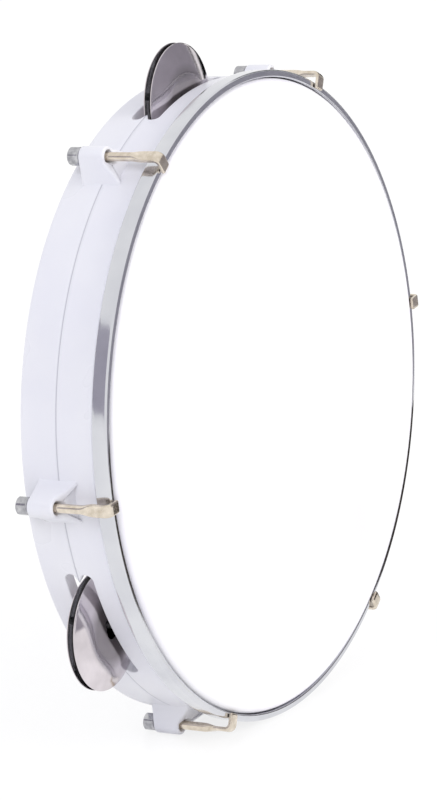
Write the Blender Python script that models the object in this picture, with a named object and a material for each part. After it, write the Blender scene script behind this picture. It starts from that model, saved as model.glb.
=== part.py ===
# Pandeiro: a moulded drum shell with a film head, six claw hooks and three pairs of jingles.
# Units are metres. The drum stands on its edge, with its head towards -Y and +Z up.
# It is drawn lying on its back: the drum's axis is Z, the rear rim is at Z = 0, the head is on
# top. One empty then tips it up, leaning back on its rear rim, and puts the middle of its
# bottom at the origin.
import math

import bmesh
import bpy
from mathutils import Matrix, Vector

# Running clearance between two pieces that touch or pass through each other
gap = 0.0003

# Shell: a one-piece moulding, widest at its parting line
shell_radius = 0.1525
shell_height = 0.0480
shell_wall = 0.0070
shell_draft = 0.0005
parting_height = 0.0191
rim_round = 0.0008
spigot_step = 0.0018
step_clearance = 0.0015
bearing_run = 0.0038
bearing_rise = 0.0045
bearing_inner_run = 0.0014
bearing_inner_drop = 0.0010
bearing_steps = 4
ring_steps = 72

# Head: a film drawn over the bearing edge and round the flesh ring
film = 0.0005
head_rise = 0.0021

# Flesh ring and counter hoop
flesh_ring_width = 0.0020
flesh_ring_height = 0.0032
hoop_depth = 0.0076
hoop_lip = 0.0036
hoop_skirt = 0.0013
hoop_round = 0.0012
hoop_inner_round = 0.0008

# Tension hooks: a rod that flattens into a strip and turns over the hoop
hook_count = 6
hook_standoff = 0.0046
rod_radius = 0.0021
rod_end_chamfer = 0.0005
strip_width = 0.0060
strip_thickness = 0.0020
strip_start = 0.0337
strip_full = 0.0407
claw_thickness = 0.0018
claw_reach = 0.0079
bend_radius = 0.0026
rod_sides = 12

# Tuning nuts
nut_flats = 0.0080
nut_length = 0.0059
nut_chamfer = 0.0007
rod_end_recess = 0.0008

# Lugs moulded on the shell, each a tunnel for a rod
lug_rear = 0.0080
lug_length = 0.0133
lug_foot_run = 0.0070
lug_crest = 0.0048
lug_foot_half = 0.0088
lug_foot_rise = 0.0007
lug_toe = 0.0025
arch_steps = 8

# Jingle slots through the shell, each end with two round lobes and a cusp between them
grip_to_slot = math.radians(56.3)
slot_end_room = 0.0048
slot_side_room = 0.0022
lobe_radius = 0.0033
lobe_sweep = math.radians(30)
cusp_height = 0.0042
lobe_steps = 5

# Jingles: two dished discs, rim to rim, that hang by their holes on a pin across each slot
jingle_radius = 0.0280
jingle_sheet = 0.0005
jingle_hole = 0.0042
jingle_flat = 0.0140
jingle_dish = 0.0030
jingle_rim_offset = 0.0017
jingle_steps = 32
pin_radius = 0.0015
pin_head_radius = 0.0020
pin_head = 0.0010
pin_recess = 0.0004
pin_beyond_slot = 0.0060
pin_sides = 12

# Places that follow from the sizes above
spigot_radius = shell_radius - spigot_step
slot_length = 2 * (jingle_radius + slot_end_room)
jingle_bulge = jingle_rim_offset + jingle_dish + jingle_sheet / 2
slot_width = 2 * (jingle_bulge + slot_side_room)
hoop_front = shell_height + gap + film - head_rise
hoop_inner = spigot_radius + gap + film + gap
hoop_rear = hoop_front - hoop_depth
flesh_ring_top = hoop_front - hoop_lip - gap
flesh_ring_bottom = flesh_ring_top - flesh_ring_height
flesh_ring_inner = spigot_radius + gap + film + gap
flesh_ring_outer = flesh_ring_inner + flesh_ring_width
hoop_radius = flesh_ring_outer + gap + hoop_skirt
hook_circle = hoop_radius + hook_standoff
film_bottom = flesh_ring_bottom - gap - film
step_height = film_bottom - step_clearance
shell_inner = shell_radius - shell_wall
crest_radius = spigot_radius - bearing_run
nut_rear = lug_rear - gap - nut_length
rod_end = nut_rear + rod_end_recess
pin_circle = (shell_inner + shell_radius - shell_draft) / 2
jingle_sag = jingle_hole * math.cos(math.pi / jingle_steps) - pin_radius - gap

# The drum leans back on its hoop and its rear rim, rolled until one nut almost meets the floor
hoop_foot = hoop_rear + hoop_round
lean_slope = (hoop_radius - shell_radius + shell_draft) / (hoop_foot - rim_round)
lean_back = math.atan(lean_slope)
nut_height = hoop_radius - nut_flats / math.sqrt(3) - lean_slope * (hoop_foot - nut_rear)
stand_angle = math.acos(nut_height / hook_circle)
first_hook = -math.pi / 2 - stand_angle
hook_angles = [first_hook + i * math.tau / hook_count for i in range(hook_count)]
grip_angle = hook_angles[4] + math.pi / hook_count
jingle_angles = [grip_angle - grip_to_slot, grip_angle + grip_to_slot, grip_angle + math.pi]


def make_material(name, colour, roughness, metallic):
    material = bpy.data.materials.new(name)
    material.use_nodes = True
    shader = material.node_tree.nodes["Principled BSDF"]
    shader.inputs["Base Color"].default_value = (*colour, 1.0)
    shader.inputs["Roughness"].default_value = roughness
    shader.inputs["Metallic"].default_value = metallic
    return material


def make_object(name, bm, material, location=(0.0, 0.0, 0.0), turn=0.0, sharp=30.0):
    # Turns a bmesh into a named object with outward faces, smooth but for its sharp edges
    bmesh.ops.recalc_face_normals(bm, faces=bm.faces)
    mesh = bpy.data.meshes.new(name)
    bm.to_mesh(mesh)
    bm.free()
    mesh.materials.append(material)
    mesh.shade_smooth()
    mesh.set_sharp_from_angle(angle=math.radians(sharp))
    obj = bpy.data.objects.new(name, mesh)
    obj.location = location
    obj.rotation_euler.z = turn
    bpy.context.collection.objects.link(obj)
    return obj


def make_cutter(name, bm):
    # A guide solid for a Boolean, left out of the model
    bmesh.ops.recalc_face_normals(bm, faces=bm.faces)
    mesh = bpy.data.meshes.new(name)
    bm.to_mesh(mesh)
    bm.free()
    cutter = bpy.data.objects.new(name, mesh)
    cutter.hide_render = True
    cutter.display_type = "WIRE"
    bpy.context.collection.objects.link(cutter)
    return cutter


def add_boolean(obj, cutter, operation):
    modifier = obj.modifiers.new(cutter.name, "BOOLEAN")
    modifier.operation = operation
    modifier.solver = "EXACT"
    modifier.object = cutter


def arc(centre, radii, start, end, steps):
    # Points on an ellipse arc, from one angle to another
    points = []
    for i in range(steps + 1):
        angle = start + (end - start) * i / steps
        points.append((centre[0] + radii[0] * math.cos(angle), centre[1] + radii[1] * math.sin(angle)))
    return points


def lathe(profile, steps, closed=True):
    # Spins a profile of (radius, height) points about Z into a solid
    bm = bmesh.new()
    verts = [bm.verts.new((r, 0.0, z)) for r, z in profile]
    pairs = list(zip(verts, verts[1:]))
    if closed:
        pairs.append((verts[-1], verts[0]))
    edges = [bm.edges.new(pair) for pair in pairs]
    bmesh.ops.spin(
        bm,
        geom=verts + edges,
        cent=(0.0, 0.0, 0.0),
        axis=(0.0, 0.0, 1.0),
        angle=math.tau,
        steps=steps,
        use_merge=True,
    )
    bmesh.ops.remove_doubles(bm, verts=bm.verts, dist=1e-7)
    return bm


def loft(rings, looped=False):
    # Skins a row of rings with the same number of points, then caps or joins its two ends
    bm = bmesh.new()
    loops = [[bm.verts.new(point) for point in ring] for ring in rings]
    pairs = list(zip(loops, loops[1:]))
    if looped:
        pairs.append((loops[-1], loops[0]))
    else:
        bm.faces.new(loops[0])
        bm.faces.new(loops[-1])
    for near, far in pairs:
        for i in range(len(near)):
            bm.faces.new((near[i - 1], near[i], far[i], far[i - 1]))
    return bm


def add_prism(bm, outline, matrix, depth):
    # Adds an outline in the XY plane, extruded along Z by depth and placed by the matrix
    face = bm.faces.new([bm.verts.new((x, y, 0.0)) for x, y in outline])
    grown = bmesh.ops.extrude_face_region(bm, geom=[face])
    moved = [item for item in grown["geom"] if isinstance(item, bmesh.types.BMVert)]
    bmesh.ops.translate(bm, verts=moved, vec=(0.0, 0.0, depth))
    bmesh.ops.transform(bm, matrix=matrix, verts=list(face.verts) + moved)


def add_bore(bm, stages, place):
    # Adds an upright stepped bore through (radius, height) stages; its flats lie at each radius
    start = math.atan2(place.y, place.x)
    rings = []
    for radius, height in stages:
        corner = radius / math.cos(math.pi / pin_sides)
        ring = []
        for i in range(pin_sides):
            angle = start + math.tau * i / pin_sides
            ring.append(bm.verts.new(place + on_circle(corner, angle, height)))
        rings.append(ring)
    bm.faces.new(rings[0])
    bm.faces.new(rings[-1])
    for near, far in zip(rings, rings[1:]):
        for i in range(pin_sides):
            bm.faces.new((near[i - 1], near[i], far[i], far[i - 1]))


def on_circle(radius, angle, height=0.0):
    return Vector((radius * math.cos(angle), radius * math.sin(angle), height))


def shell_profile():
    # Rear rim, drafted outer wall, step, spigot, bearing edge and inner wall
    rear_radius = shell_radius - shell_draft
    points = arc((rear_radius - rim_round, rim_round), (rim_round, rim_round), -math.pi / 2, 0.0, 2)
    points.append((shell_radius, parting_height))
    points.append((rear_radius, step_height - rim_round))
    points.append((rear_radius - rim_round, step_height))
    points.append((spigot_radius, step_height))
    bearing = (crest_radius, shell_height - bearing_rise)
    points += arc(bearing, (bearing_run, bearing_rise), 0.0, math.pi / 2, bearing_steps)
    points.append((crest_radius - bearing_inner_run / 2, shell_height))
    points.append((shell_inner, shell_height - bearing_inner_drop))
    points += arc((shell_inner + rim_round, rim_round), (rim_round, rim_round), math.pi, 1.5 * math.pi, 2)
    return points


def lug_outline():
    # Section across a lug: two toes in the wall, straight flanks and an arch round the rod
    foot = shell_radius + lug_foot_rise
    reach = math.hypot(lug_foot_half, hook_circle - foot)
    below = math.atan2(foot - hook_circle, lug_foot_half)
    tangent = below + math.acos(lug_crest / reach)
    points = [(lug_foot_half + lug_toe, foot - lug_toe), (lug_foot_half, foot)]
    points += arc((0.0, hook_circle), (lug_crest, lug_crest), tangent, math.pi - tangent, arch_steps)
    points += [(-lug_foot_half, foot), (-lug_foot_half - lug_toe, foot - lug_toe)]
    return points


def lug_front(radius):
    # Height of the lug's sloping front face, level at the crest and long at the foot
    share = min(1.0, max(0.0, (hook_circle - radius) / (hook_circle - shell_radius)))
    return lug_rear + lug_length + lug_foot_run * share


def build_lugs():
    bm = bmesh.new()
    outline = lug_outline()
    for angle in hook_angles:
        turn = Matrix.Rotation(angle, 3, "Z")
        rear = [bm.verts.new(turn @ Vector((r, s, lug_rear))) for s, r in outline]
        front = [bm.verts.new(turn @ Vector((r, s, lug_front(r)))) for s, r in outline]
        bm.faces.new(rear)
        bm.faces.new(front)
        for i in range(len(outline)):
            j = (i + 1) % len(outline)
            bm.faces.new((rear[i], rear[j], front[j], front[i]))
    return make_cutter("lug_guide", bm)


def slot_outline():
    # A long slot whose two ends have a pair of round lobes with a cusp on the parting line
    half = slot_length / 2
    across = slot_width / 2 - lobe_radius
    radii = (lobe_radius, lobe_radius)
    corner = arc((half - lobe_radius, across), radii, math.pi / 2, -lobe_sweep, lobe_steps)
    end = corner + [(half - cusp_height, 0.0)] + [(x, -y) for x, y in reversed(corner)]
    return end + [(-x, -y) for x, y in end]


def build_slot_cutter():
    bm = bmesh.new()
    outline = slot_outline()
    for angle in jingle_angles:
        start = Matrix.Translation(on_circle(shell_inner - shell_wall, angle, parting_height))
        facing = Matrix.Rotation(angle, 4, "Z") @ Matrix.Rotation(math.pi / 2, 4, "Y")
        upright = facing @ Matrix.Rotation(math.pi / 2, 4, "Z")
        add_prism(bm, outline, start @ upright, 3 * shell_wall)
    return make_cutter("slot_cutter", bm)


def build_pin_cutter():
    bm = bmesh.new()
    seat = pin_recess + pin_head
    top = parting_height + slot_width / 2 + pin_beyond_slot + gap
    wide = pin_head_radius + gap
    narrow = pin_radius + gap
    for angle in jingle_angles:
        place = on_circle(pin_circle, angle)
        add_bore(bm, [(wide, -gap), (wide, seat), (narrow, seat), (narrow, top)], place)
    return make_cutter("pin_bore_cutter", bm)


def build_rod_cutter():
    bm = bmesh.new()
    radius = rod_radius + gap
    top = lug_rear + lug_length + lug_foot_run
    for angle in hook_angles:
        add_bore(bm, [(radius, lug_rear - gap), (radius, top)], on_circle(hook_circle, angle))
    return make_cutter("rod_bore_cutter", bm)


def build_shell(material):
    bm = lathe(shell_profile(), ring_steps)
    bmesh.ops.rotate(bm, verts=bm.verts, matrix=Matrix.Rotation(first_hook, 3, "Z"))
    shell = make_object("shell", bm, material)
    add_boolean(shell, build_lugs(), "UNION")
    add_boolean(shell, build_slot_cutter(), "DIFFERENCE")
    add_boolean(shell, build_pin_cutter(), "DIFFERENCE")
    add_boolean(shell, build_rod_cutter(), "DIFFERENCE")
    return shell


def build_head(material):
    # Flat film, its collar over the bearing edge, a skirt and the turn under the flesh ring
    bearing = (crest_radius, shell_height - bearing_rise)
    inner = (bearing_run + gap, bearing_rise + gap)
    outer = (inner[0] + film, inner[1] + film)
    profile = [(0.0, shell_height + gap + film)]
    profile += arc(bearing, outer, math.pi / 2, 0.0, bearing_steps)
    profile.append((spigot_radius + gap + film, film_bottom + film))
    profile.append((flesh_ring_outer, film_bottom + film))
    profile.append((flesh_ring_outer, film_bottom))
    profile.append((spigot_radius + gap, film_bottom))
    profile += arc(bearing, inner, 0.0, math.pi / 2, bearing_steps)
    profile.append((0.0, shell_height + gap))
    bm = lathe(profile, ring_steps, closed=False)
    bmesh.ops.rotate(bm, verts=bm.verts, matrix=Matrix.Rotation(first_hook, 3, "Z"))
    return make_object("drum_head", bm, material)


def build_flesh_ring(material):
    profile = [
        (flesh_ring_outer, flesh_ring_bottom),
        (flesh_ring_outer, flesh_ring_top),
        (flesh_ring_inner, flesh_ring_top),
        (flesh_ring_inner, flesh_ring_bottom),
    ]
    bm = lathe(profile, ring_steps)
    bmesh.ops.rotate(bm, verts=bm.verts, matrix=Matrix.Rotation(first_hook, 3, "Z"))
    return make_object("flesh_ring", bm, material)


def build_hoop(material):
    # Flat bar with rounded front corners and a rebate that holds the flesh ring
    skirt_inner = hoop_radius - hoop_skirt
    outer_corner = (hoop_radius - hoop_round, hoop_front - hoop_round)
    inner_corner = (hoop_inner + hoop_inner_round, hoop_front - hoop_inner_round)
    profile = [(skirt_inner, hoop_rear), (hoop_radius, hoop_rear)]
    profile += arc(outer_corner, (hoop_round, hoop_round), 0.0, math.pi / 2, 3)
    profile += arc(inner_corner, (hoop_inner_round, hoop_inner_round), math.pi / 2, math.pi, 2)
    profile.append((hoop_inner, hoop_front - hoop_lip))
    profile.append((skirt_inner, hoop_front - hoop_lip))
    bm = lathe(profile, ring_steps)
    bmesh.ops.rotate(bm, verts=bm.verts, matrix=Matrix.Rotation(first_hook, 3, "Z"))
    return make_object("counter_hoop", bm, material)


def hook_section(width, thickness, squareness):
    # Ring of points between a circle, squareness 0, and a rectangle, squareness 1
    points = []
    for i in range(rod_sides):
        angle = math.tau * (i + 0.5) / rod_sides
        x, y = math.cos(angle), math.sin(angle)
        stretch = 1.0 + squareness * (1.0 / max(abs(x), abs(y)) - 1.0)
        points.append((x * stretch * width / 2, y * stretch * thickness / 2))
    return points


def hook_stations():
    # Middle of the hook as (radius, height), its heading, width, thickness and squareness
    straight = 0.0
    rod = 2 * rod_radius
    claw_face = hoop_front + gap
    bend_height = claw_face + claw_thickness / 2 - bend_radius
    stations = [
        (hook_circle, rod_end, straight, rod - 2 * rod_end_chamfer, rod - 2 * rod_end_chamfer, 0.0),
        (hook_circle, rod_end + rod_end_chamfer, straight, rod, rod, 0.0),
        (hook_circle, strip_start, straight, rod, rod, 0.0),
        (hook_circle, (strip_start + strip_full) / 2, straight, (rod + strip_width) / 2,
         (rod + strip_thickness) / 2, 0.5),
    ]
    for i in range(5):
        turn = math.pi / 2 * i / 4
        radius = hook_circle - bend_radius + bend_radius * math.cos(turn)
        height = bend_height + bend_radius * math.sin(turn)
        thickness = strip_thickness + (claw_thickness - strip_thickness) * i / 4
        stations.append((radius, height, turn, strip_width, thickness, 0.9))
    tip = hook_circle - claw_reach
    middle = claw_face + claw_thickness / 2
    stations.append((tip + claw_thickness / 4, middle, math.pi / 2, strip_width, claw_thickness, 0.9))
    stations.append((tip, middle, math.pi / 2, strip_width * 0.8, claw_thickness * 0.6, 0.9))
    stations.insert(4, (hook_circle, strip_full, straight, strip_width, strip_thickness, 0.9))
    return stations


def build_hook(name, angle, material):
    rings = []
    for radius, height, turn, width, thickness, squareness in hook_stations():
        out = Vector((math.cos(turn), 0.0, math.sin(turn)))
        ring = []
        for across, through in hook_section(width, thickness, squareness):
            ring.append(Vector((radius, 0.0, height)) + out * through + Vector((0.0, across, 0.0)))
        rings.append(ring)
    bm = loft(rings)
    bmesh.ops.rotate(bm, verts=bm.verts, matrix=Matrix.Rotation(angle, 3, "Z"))
    return make_object(name, bm, material)


def nut_ring(radius, height, hexagonal):
    # Twelve points at one height: a hexagon with its side middles, or a circle
    points = []
    for i in range(rod_sides):
        angle = math.tau * (i + 0.5) / rod_sides
        fold = (angle + math.pi / 6) % (math.pi / 3) - math.pi / 6
        reach = radius / math.cos(fold) if hexagonal else radius
        points.append((reach * math.cos(angle), reach * math.sin(angle), height))
    return points


def build_nut(name, angle, material):
    # Hexagon nut with chamfered ends and a clear hole for the rod
    hole = (rod_radius + gap) / math.cos(math.pi / rod_sides)
    flat = nut_flats / 2
    rings = [
        nut_ring(hole, 0.0, False),
        nut_ring(flat - nut_chamfer, 0.0, True),
        nut_ring(flat, nut_chamfer, True),
        nut_ring(flat, nut_length - nut_chamfer, True),
        nut_ring(flat - nut_chamfer, nut_length, True),
        nut_ring(hole, nut_length, False),
    ]
    bm = loft(rings, looped=True)
    return make_object(name, bm, material, on_circle(hook_circle, angle, nut_rear), angle)


def jingle_profile(way):
    # A flat centre, a curved flare and a flat lip; way is 1 or -1, its hollow side up or down
    flare = jingle_radius - jingle_flat
    middle = [
        (jingle_hole, 0.0),
        (jingle_flat, 0.0),
        (jingle_flat + 0.36 * flare, 0.32 * jingle_dish),
        (jingle_flat + 0.76 * flare, 0.94 * jingle_dish),
        (jingle_radius, jingle_dish),
    ]
    half = jingle_sheet / 2
    below = [(r, way * (z - jingle_dish) - half) for r, z in middle]
    above = [(r, way * (z - jingle_dish) + half) for r, z in reversed(middle)]
    return below + above


def build_jingle(name, angle, way, material):
    # Hangs below its pin: down is -Y until the drum is tipped up
    place = on_circle(pin_circle, angle, parting_height - way * jingle_rim_offset)
    place.y -= jingle_sag
    return make_object(name, lathe(jingle_profile(way), jingle_steps), material, place, angle)


def build_pin(name, angle, material):
    top = parting_height + slot_width / 2 + pin_beyond_slot
    profile = [
        (0.0, pin_recess),
        (pin_head_radius, pin_recess),
        (pin_head_radius, pin_recess + pin_head - gap),
        (pin_radius, pin_recess + pin_head - gap),
        (pin_radius, top - pin_radius / 2),
        (pin_radius / 2, top),
        (0.0, top),
    ]
    bm = lathe(profile, pin_sides, closed=False)
    return make_object(name, bm, material, on_circle(pin_circle, angle), angle)


def stand_up(objects):
    # Tips the drum onto its edge, leaning back, with the middle of its bottom at the origin
    stand = bpy.data.objects.new("drum_stand", None)
    for obj in list(bpy.data.objects):
        if obj.type == "MESH":
            obj.parent = stand
    bpy.context.collection.objects.link(stand)
    stand.rotation_euler.x = math.pi / 2 - lean_back
    bpy.context.view_layer.update()
    depsgraph = bpy.context.evaluated_depsgraph_get()
    points = []
    for obj in objects:
        solid = obj.evaluated_get(depsgraph)
        points += [solid.matrix_world @ vert.co for vert in solid.data.vertices]
    low = [min(point[axis] for point in points) for axis in range(3)]
    high = [max(point[axis] for point in points) for axis in range(3)]
    stand.location = (-(low[0] + high[0]) / 2, -(low[1] + high[1]) / 2, -low[2])
    bpy.context.view_layer.update()


def main():
    for obj in list(bpy.data.objects):
        bpy.data.objects.remove(obj)
    white_abs = make_material("white_abs", (0.84, 0.84, 0.86), 0.28, 0.0)
    milky_film = make_material("milky_film", (0.90, 0.90, 0.90), 0.35, 0.0)
    ring_steel = make_material("zinc_plated_steel", (0.55, 0.55, 0.56), 0.40, 1.0)
    chrome = make_material("chrome_plated_steel", (0.80, 0.80, 0.81), 0.10, 1.0)
    nickel = make_material("nickel_plated_steel", (0.72, 0.69, 0.62), 0.18, 1.0)
    jingle_nickel = make_material("polished_nickel_steel", (0.66, 0.64, 0.64), 0.08, 1.0)

    pieces = [
        build_shell(white_abs),
        build_head(milky_film),
        build_flesh_ring(ring_steel),
        build_hoop(chrome),
    ]
    for number, angle in enumerate(hook_angles, 1):
        pieces.append(build_hook(f"tension_hook_{number}", angle, nickel))
        pieces.append(build_nut(f"tuning_nut_{number}", angle, chrome))
    for number, angle in enumerate(jingle_angles, 1):
        pieces.append(build_pin(f"jingle_pin_{number}", angle, ring_steel))
        pieces.append(build_jingle(f"front_jingle_{number}", angle, -1, jingle_nickel))
        pieces.append(build_jingle(f"rear_jingle_{number}", angle, 1, jingle_nickel))
    stand_up(pieces)


main()
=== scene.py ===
import math

import bmesh
import bpy
import numpy as np
from mathutils import Matrix, Vector


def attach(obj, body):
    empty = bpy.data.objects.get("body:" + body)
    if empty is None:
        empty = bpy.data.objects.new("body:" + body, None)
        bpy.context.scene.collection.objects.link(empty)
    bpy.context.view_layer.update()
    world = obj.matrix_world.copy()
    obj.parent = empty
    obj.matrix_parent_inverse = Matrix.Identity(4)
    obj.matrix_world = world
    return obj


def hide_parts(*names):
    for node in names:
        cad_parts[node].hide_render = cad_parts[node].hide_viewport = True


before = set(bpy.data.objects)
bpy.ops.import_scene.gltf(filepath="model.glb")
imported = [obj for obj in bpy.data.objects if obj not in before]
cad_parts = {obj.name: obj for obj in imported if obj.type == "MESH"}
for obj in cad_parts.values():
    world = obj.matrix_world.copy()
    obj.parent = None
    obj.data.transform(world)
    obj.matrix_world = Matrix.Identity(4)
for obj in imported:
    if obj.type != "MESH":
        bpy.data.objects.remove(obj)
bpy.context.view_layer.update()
print("frame loaded")

# The drum's own frame: it leans back, and heights are counted along its axis from the rear rim
# towards the head. Lengths are in metres and angles in degrees, from +X upwards.
drum = {
    "rearMiddle": (-0.0007936, 0.0241259, 0.1513632),
    "lean": 4.919662,
    "hookCircle": 0.1600,
    "hookAngles": [247.171527 + 60 * i for i in range(6)],
    "jingleAngles": [100.871527, 213.471527, 337.171527],
    "pinCircle": 0.14875,
    "partingHeight": 0.0191,
}

drumOrigin = np.array(drum["rearMiddle"])
sideways = np.array([1.0, 0.0, 0.0])
upwards = np.array([0.0, math.sin(math.radians(drum["lean"])), math.cos(math.radians(drum["lean"]))])
ahead = np.array([0.0, -upwards[2], upwards[1]])


def linearColour(hexCode):
    # sRGB hex to linear light, with alpha 1
    channels = np.array([int(hexCode[i:i + 2], 16) for i in (1, 3, 5)]) / 255
    linear = np.where(channels <= 0.04045, channels / 12.92, ((channels + 0.055) / 1.055) ** 2.4)
    return (*linear.tolist(), 1.0)


def addNode(tree, kind, inputs=None, **settings):
    # Adds a node: settings are its properties, inputs are socket values or the sockets that feed them
    node = tree.nodes.new(kind)
    for key, value in settings.items():
        setattr(node, key, value)
    for key, value in (inputs or {}).items():
        if isinstance(value, bpy.types.NodeSocket):
            tree.links.new(value, node.inputs[key])
        else:
            node.inputs[key].default_value = value
    return node


noiseSpan = {"From Min": 0.3, "From Max": 0.7}  # a noise texture's values lie mostly between these
mixShare, mixFirst, mixSecond, mixResult = 0, 6, 7, 2  # the sockets of a Mix node that mixes colours


def newMaterial(name):
    # An empty node material
    material = bpy.data.materials.new(name)
    material.use_nodes = True
    tree = material.node_tree
    tree.nodes.clear()
    return material, tree


def blotches(tree, place, millimetres, detail=3.0, stretch=(1, 1, 1)):
    # Noise whose blobs are about that many millimetres across
    scaled = addNode(tree, "ShaderNodeMapping", {"Vector": place, "Scale": stretch})
    noise = addNode(
        tree,
        "ShaderNodeTexNoise",
        {"Vector": scaled.outputs["Vector"], "Scale": 1000 / millimetres, "Detail": detail},
    )
    return noise.outputs["Fac"]


# In the materials' dictionaries every name that ends in Size, the grain, the blotches and the
# scratches are in millimetres, and all other lengths are in metres
whitePlastic = {
    "colour": "#efeff3",
    "shade": "#e6e6ee",
    "shadeSize": 60,
    "roughness": (0.26, 0.36),
    "peelSize": 1.4,
    "peelHeight": 0.00002,
    "peelStrength": 0.5,
    "ior": 1.54,
}
seam = {
    "colour": "#b9b9c2",
    "strength": 0.75,
    "core": 0.00015,  # full strength this near to the parting line, and none at the width
    "width": 0.0005,
    "outsideOf": 0.1505,
}


def seamShare(tree, place):
    # How much of the seam's grey a point gets. How far it is along the drum's axis is the dot product
    # with the axis, and how far from the axis is the length of the cross product.
    height = addNode(
        tree, "ShaderNodeVectorMath", {0: place, 1: ahead.tolist()}, operation="DOT_PRODUCT"
    )
    seamHeight = float(drumOrigin @ ahead) + drum["partingHeight"]
    away = addNode(
        tree, "ShaderNodeMath", {0: height.outputs["Value"], 1: seamHeight}, operation="SUBTRACT"
    )
    away = addNode(tree, "ShaderNodeMath", {0: away.outputs[0]}, operation="ABSOLUTE")
    line = addNode(
        tree,
        "ShaderNodeMapRange",
        {
            "Value": away.outputs[0],
            "From Min": seam["core"],
            "From Max": seam["width"],
            "To Min": seam["strength"],
            "To Max": 0,
        },
    )
    fromAxis = addNode(
        tree, "ShaderNodeVectorMath", {0: place, 1: drumOrigin.tolist()}, operation="SUBTRACT"
    )
    fromAxis = addNode(
        tree,
        "ShaderNodeVectorMath",
        {0: fromAxis.outputs["Vector"], 1: ahead.tolist()},
        operation="CROSS_PRODUCT",
    )
    fromAxis = addNode(
        tree, "ShaderNodeVectorMath", {0: fromAxis.outputs["Vector"]}, operation="LENGTH"
    )
    outside = addNode(
        tree,
        "ShaderNodeMath",
        {0: fromAxis.outputs["Value"], 1: seam["outsideOf"]},
        operation="GREATER_THAN",
    )
    share = addNode(
        tree,
        "ShaderNodeMath",
        {0: line.outputs["Result"], 1: outside.outputs[0]},
        operation="MULTIPLY",
    )
    return share.outputs[0]


def makeWhiteAbs(name, withSeam):
    # Injection-moulded white ABS: a soft gloss on a faint orange peel, cooler in broad patches,
    # and on the wall a fine grey line where the mould parts
    facts = whitePlastic
    material, tree = newMaterial(name)
    place = addNode(tree, "ShaderNodeTexCoord").outputs["Object"]
    broad = blotches(tree, place, facts["shadeSize"])
    peel = blotches(tree, place, facts["peelSize"], 2.0)
    share = addNode(tree, "ShaderNodeMapRange", {"Value": broad, **noiseSpan, "To Min": 0, "To Max": 1})
    colour = addNode(
        tree,
        "ShaderNodeMix",
        {
            mixShare: share.outputs["Result"],
            mixFirst: linearColour(facts["colour"]),
            mixSecond: linearColour(facts["shade"]),
        },
        data_type="RGBA",
    )
    if withSeam:
        colour = addNode(
            tree,
            "ShaderNodeMix",
            {
                mixShare: seamShare(tree, place),
                mixFirst: colour.outputs[mixResult],
                mixSecond: linearColour(seam["colour"]),
            },
            data_type="RGBA",
        )
    low, high = facts["roughness"]
    rough = addNode(
        tree, "ShaderNodeMapRange", {"Value": broad, **noiseSpan, "To Min": low, "To Max": high}
    )
    bump = addNode(
        tree,
        "ShaderNodeBump",
        {"Height": peel, "Strength": facts["peelStrength"], "Distance": facts["peelHeight"]},
    )
    shader = addNode(
        tree,
        "ShaderNodeBsdfPrincipled",
        {
            "Base Color": colour.outputs[mixResult],
            "Roughness": rough.outputs["Result"],
            "IOR": facts["ior"],
            "Normal": bump.outputs["Normal"],
        },
    )
    addNode(tree, "ShaderNodeOutputMaterial", {"Surface": shader.outputs["BSDF"]})
    return material


film = {
    "colour": "#fdfdff",
    "tint": "#f5f3fb",
    "tintSize": 90,
    "roughness": (0.30, 0.42),
    "grain": 0.9,  # coarser than a real film's, so that it shows
    "grainHeight": 0.00001,
    "grainStrength": 0.3,
    "ior": 1.57,
}


def makeMilkyFilm():
    # Milky polyester film: smooth, a little hazy, with broad faint tints and a very fine grain
    material, tree = newMaterial("milkyPolyester")
    place = addNode(tree, "ShaderNodeTexCoord").outputs["Object"]
    broad = blotches(tree, place, film["tintSize"], 2.0)
    grain = blotches(tree, place, film["grain"], 2.0)
    share = addNode(tree, "ShaderNodeMapRange", {"Value": broad, **noiseSpan, "To Min": 0, "To Max": 1})
    colour = addNode(
        tree,
        "ShaderNodeMix",
        {
            mixShare: share.outputs["Result"],
            mixFirst: linearColour(film["colour"]),
            mixSecond: linearColour(film["tint"]),
        },
        data_type="RGBA",
    )
    low, high = film["roughness"]
    rough = addNode(
        tree, "ShaderNodeMapRange", {"Value": grain, **noiseSpan, "To Min": low, "To Max": high}
    )
    bump = addNode(
        tree,
        "ShaderNodeBump",
        {"Height": grain, "Strength": film["grainStrength"], "Distance": film["grainHeight"]},
    )
    shader = addNode(
        tree,
        "ShaderNodeBsdfPrincipled",
        {
            "Base Color": colour.outputs[mixResult],
            "Roughness": rough.outputs["Result"],
            "IOR": film["ior"],
            "Normal": bump.outputs["Normal"],
        },
    )
    addNode(tree, "ShaderNodeOutputMaterial", {"Surface": shader.outputs["BSDF"]})
    return material


# Real scratches are finer: these are as coarse as they need to be to show
plating = {
    # Bright chromium on the hoop: close to a mirror, cool, with polishing lines along its length
    "chromePlate": {
        "colours": ("#dcdde1", "#cfd0d6"),
        "roughness": (0.08, 0.16),
        "blotch": 25,
        "scratch": 1.2,
        "scratchHeight": 0.000004,
        "stretch": (1, 6, 1),
    },
    # Dull nickel on the hooks: a warm, creamy metal with soft highlights
    "nickelPlate": {
        "colours": ("#ebe1d2", "#cfc3b2"),
        "roughness": (0.16, 0.28),
        "blotch": 4,
        "scratch": 1.0,
        "scratchHeight": 0.00001,
        "stretch": (1, 0.3, 1),
    },
    # Chromium on the nuts: darker and patchier than on the hoop, with hard, bright glints
    "nutChrome": {
        "colours": ("#c6c6c9", "#97979c"),
        "roughness": (0.06, 0.14),
        "blotch": 3,
        "scratch": 0.8,
        "scratchHeight": 0.000004,
        "stretch": (1, 1, 1),
    },
    # Zinc on the pins and the flesh ring: grey, dull and a little cloudy
    "zincPlatedSteel": {
        "colours": ("#a7a9ad", "#8f9196"),
        "roughness": (0.32, 0.48),
        "blotch": 5,
        "scratch": 0.7,
        "scratchHeight": 0.00001,
        "stretch": (1, 1, 1),
    },
}
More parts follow.
